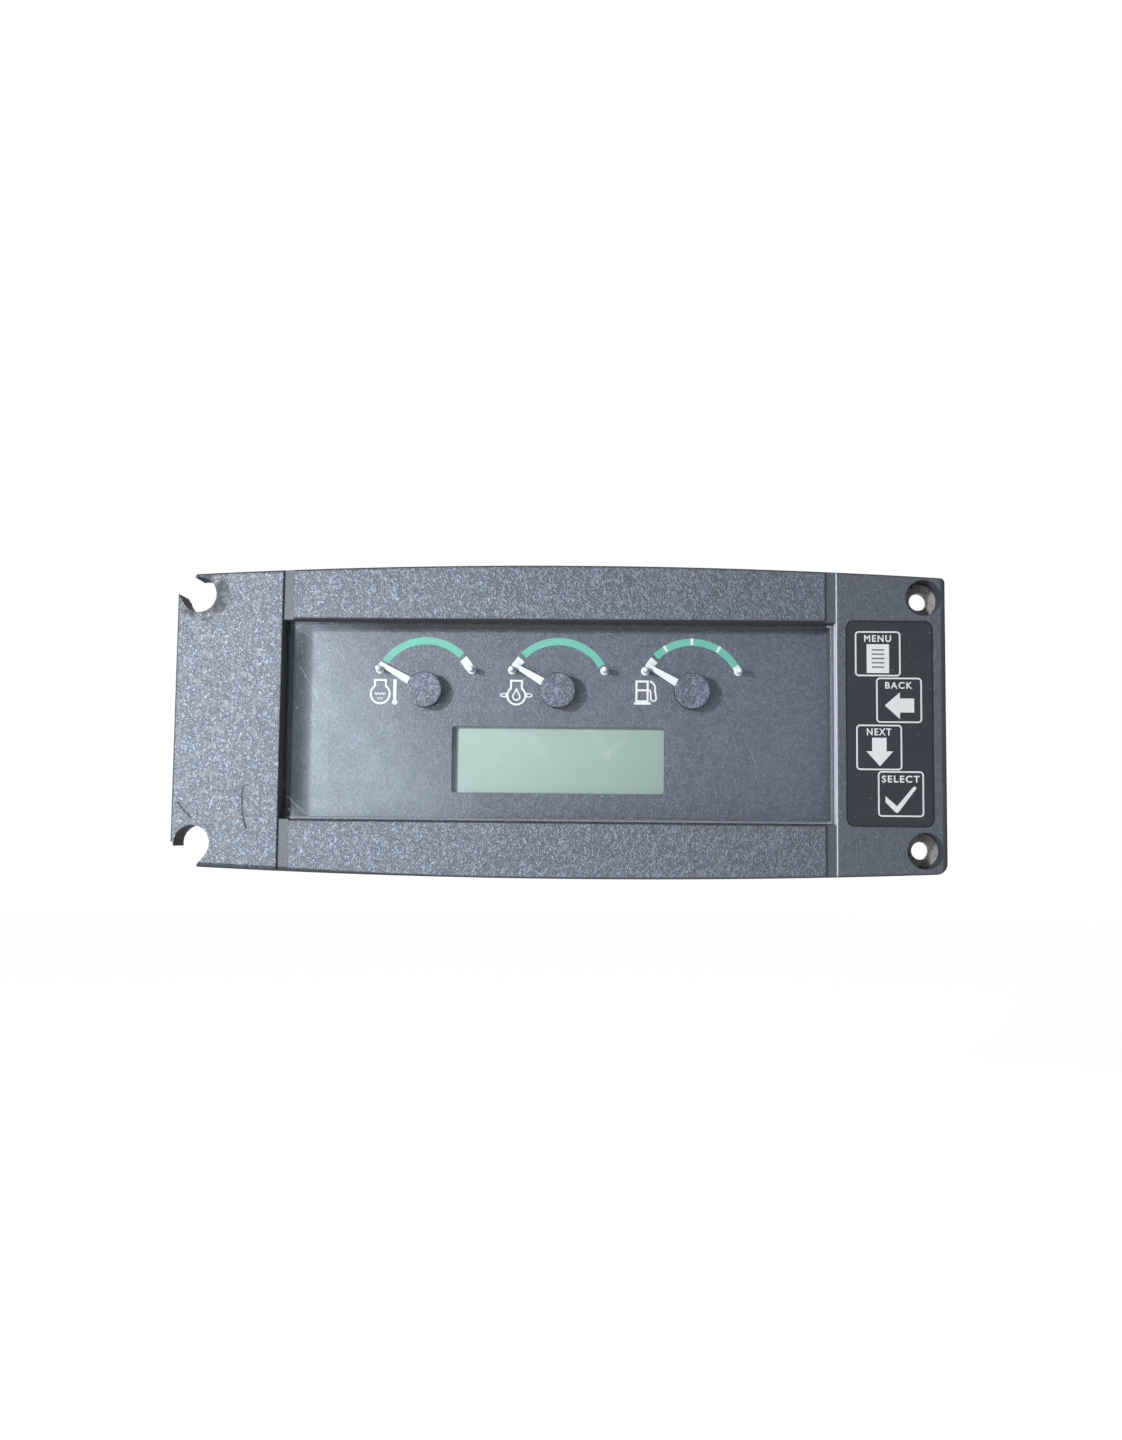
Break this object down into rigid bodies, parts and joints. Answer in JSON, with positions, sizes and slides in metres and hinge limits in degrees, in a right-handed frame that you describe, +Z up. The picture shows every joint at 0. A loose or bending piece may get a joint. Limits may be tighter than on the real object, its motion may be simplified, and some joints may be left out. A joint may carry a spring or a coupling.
{
  "type": "engine monitor display",
  "caption": "Dash-mounted engine monitor: a wide bowed bezel with pointer gauges over a character display behind a window, a keypad and a rear connector; two corners broken off.",
  "frame": {"origin": "middle of the flange's back plane, which seats on the dash", "axes": "+X to the right as seen from the front, +Y back into the dash, +Z up; the front faces -Y"},
  "size_m": [0.282, 0.0585, 0.1148],
  "materials": {
    "bezel_plastic": "wrinkle-grained moulded plastic, satin",
    "bush_steel": "dull steel with brown rust specks",
    "lens_clear": "clear sheet, faintly hazed and scratched",
    "gasket_rubber": "dull black",
    "dial_face": "fine-grained dark grey face with printed scales",
    "white_plastic": "white moulded plastic",
    "cap_plastic": "grained dark plastic",
    "spindle_steel": "ground steel",
    "magnet_ferrite": "dull dark ferrite",
    "black_plastic": "black moulded plastic",
    "frame_metal": "black painted sheet",
    "display_glass": "grey-green display, unlit",
    "light_guide": "pale diffuser",
    "circuit_board": "green solder resist",
    "overlay_film": "fine matt printed film",
    "key_plastic": "natural moulded plastic",
    "screw_steel": "zinc-plated steel",
    "socket_plastic": "ivory moulded plastic",
    "ribbon_film": "amber film",
    "capacitor_can": "sleeved can",
    "cover_plastic": "fine-textured black-grey plastic",
    "connector_plastic": "black moulded plastic",
    "contact_metal": "plated contacts"
  },
  "bodies": {
    "housing": {"front_bezel": "bezel_plastic", "bush_upper": "bush_steel", "bush_lower": "bush_steel", "lens": "lens_clear", "lens_gasket": "gasket_rubber", "cover_seal": "gasket_rubber", "dial_plate": "dial_face", "stop_pins": "white_plastic", "temperature_movement": "black_plastic", "oil_movement": "black_plastic", "fuel_movement": "black_plastic", "display_header": "black_plastic", "key_switches": "black_plastic", "board_chips": "black_plastic", "vent_plug": "black_plastic", "display_frame": "frame_metal", "display_glass": "display_glass", "display_light_guide": "light_guide", "display_board": "circuit_board", "keypad_board": "circuit_board", "main_board": "circuit_board", "keypad_overlay": "overlay_film", "keypad_screws": "screw_steel", "board_screws": "screw_steel", "cover_screws": "screw_steel", "keypad_sockets": "socket_plastic", "keypad_ribbon": "ribbon_film", "board_capacitors": "capacitor_can", "rear_cover": "cover_plastic", "connector_header": "connector_plastic", "connector_contacts": "contact_metal"},
    "temperature_pointer": {"temperature_needle": "white_plastic", "temperature_hub_cap": "cap_plastic", "temperature_spindle": "spindle_steel", "temperature_magnet": "magnet_ferrite"},
    "oil_pointer": {"oil_needle": "white_plastic", "oil_hub_cap": "cap_plastic", "oil_spindle": "spindle_steel", "oil_magnet": "magnet_ferrite"},
    "fuel_pointer": {"fuel_needle": "white_plastic", "fuel_hub_cap": "cap_plastic", "fuel_spindle": "spindle_steel", "fuel_magnet": "magnet_ferrite"},
    "menu_key": {"menu_plunger": "key_plastic"},
    "back_key": {"back_plunger": "key_plastic"},
    "next_key": {"next_plunger": "key_plastic"},
    "select_key": {"select_plunger": "key_plastic"}
  },
  "joints": [
    {"name": "temperature_sweep", "type": "hinge", "parent": "housing", "child": "temperature_pointer", "pos_m": [-0.05, 0, 0.0121], "axis": [0, 1, 0], "range_deg": [0, 119.5]},
    {"name": "oil_sweep", "type": "hinge", "parent": "housing", "child": "oil_pointer", "pos_m": [0, 0, 0.0121], "axis": [0, 1, 0], "range_deg": [0, 119.5]},
    {"name": "fuel_sweep", "type": "hinge", "parent": "housing", "child": "fuel_pointer", "pos_m": [0.05, 0, 0.0121], "axis": [0, 1, 0], "range_deg": [0, 119.5]},
    {"name": "menu_press", "type": "slide", "parent": "housing", "child": "menu_key", "axis": [0, 1, 0], "range_m": [0, 0.0004], "stiffness_N_per_m": 3000, "springref_m": -0.0002},
    {"name": "back_press", "type": "slide", "parent": "housing", "child": "back_key", "axis": [0, 1, 0], "range_m": [0, 0.0004], "stiffness_N_per_m": 3000, "springref_m": -0.0002},
    {"name": "next_press", "type": "slide", "parent": "housing", "child": "next_key", "axis": [0, 1, 0], "range_m": [0, 0.0004], "stiffness_N_per_m": 3000, "springref_m": -0.0002},
    {"name": "select_press", "type": "slide", "parent": "housing", "child": "select_key", "axis": [0, 1, 0], "range_m": [0, 0.0004], "stiffness_N_per_m": 3000, "springref_m": -0.0002}
  ]
}
